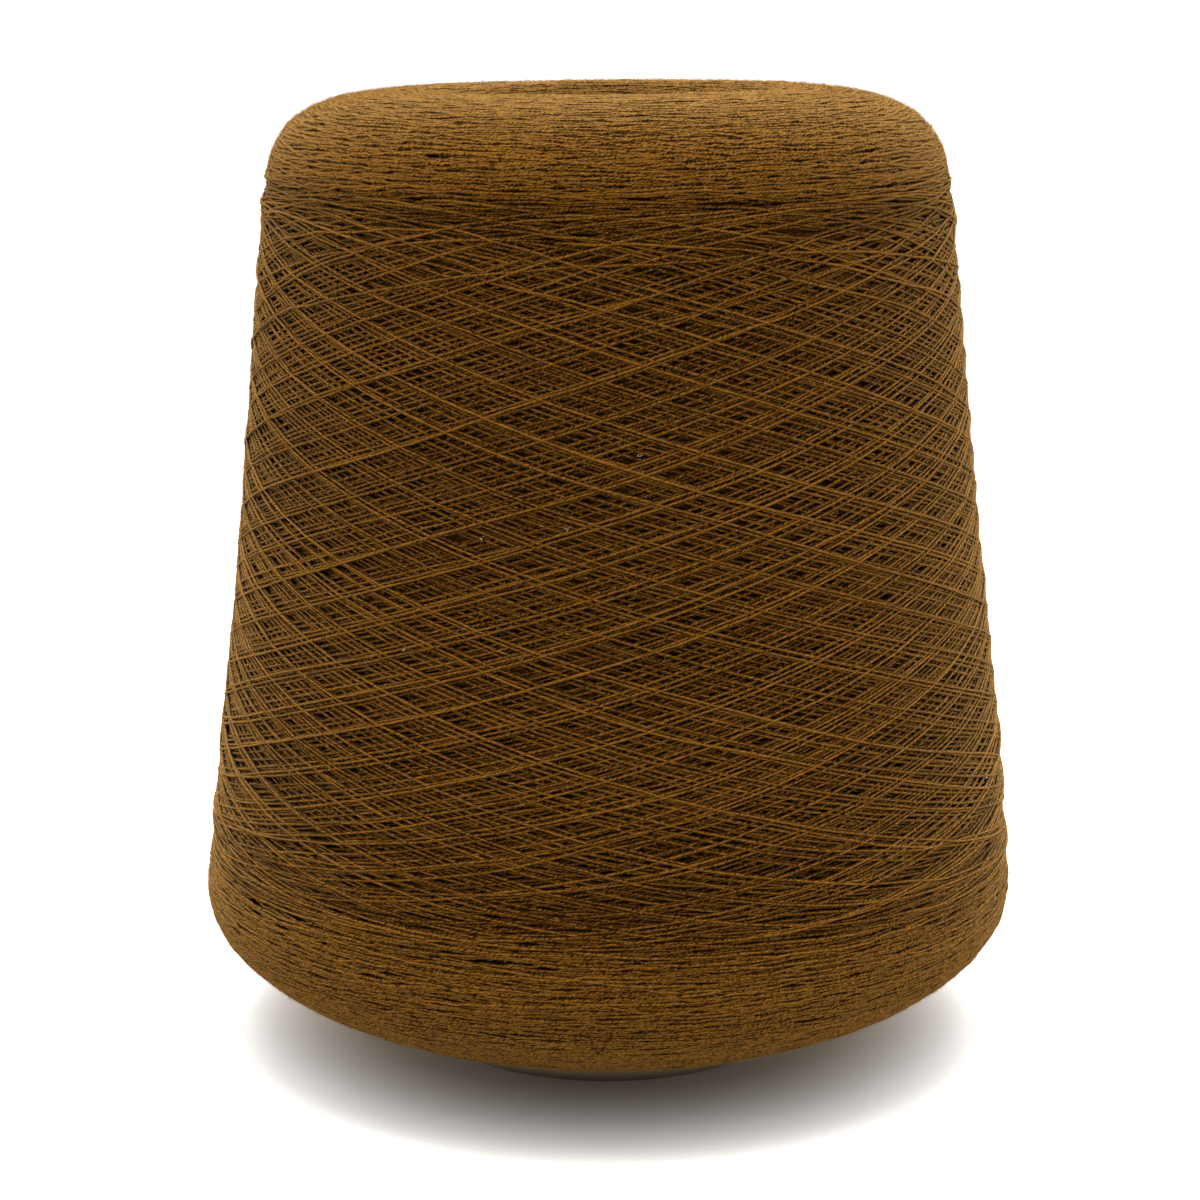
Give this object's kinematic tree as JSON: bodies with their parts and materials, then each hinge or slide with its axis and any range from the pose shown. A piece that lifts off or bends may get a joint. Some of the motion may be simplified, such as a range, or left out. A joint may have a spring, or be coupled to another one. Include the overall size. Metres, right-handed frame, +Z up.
{
  "type": "cone of yarn",
  "caption": "Cross-wound cone of brown plied yarn on a tapered paper core, with a straight flank, rounded ends and an open bore, standing on the core's rim.",
  "frame": {"origin": "middle of the paper core's base, on the surface that the cone stands on", "axes": "+Z up along the core's axis, from its wide rim to its nose; +X to the right and +Y away from the viewer in the picture's view"},
  "size_m": [0.1506, 0.1506, 0.176],
  "materials": {
    "yarn": "matte",
    "paper": "matte"
  },
  "bodies": {
    "root": {"yarn_package": "yarn", "paper_core": "paper"}
  },
  "joints": []
}
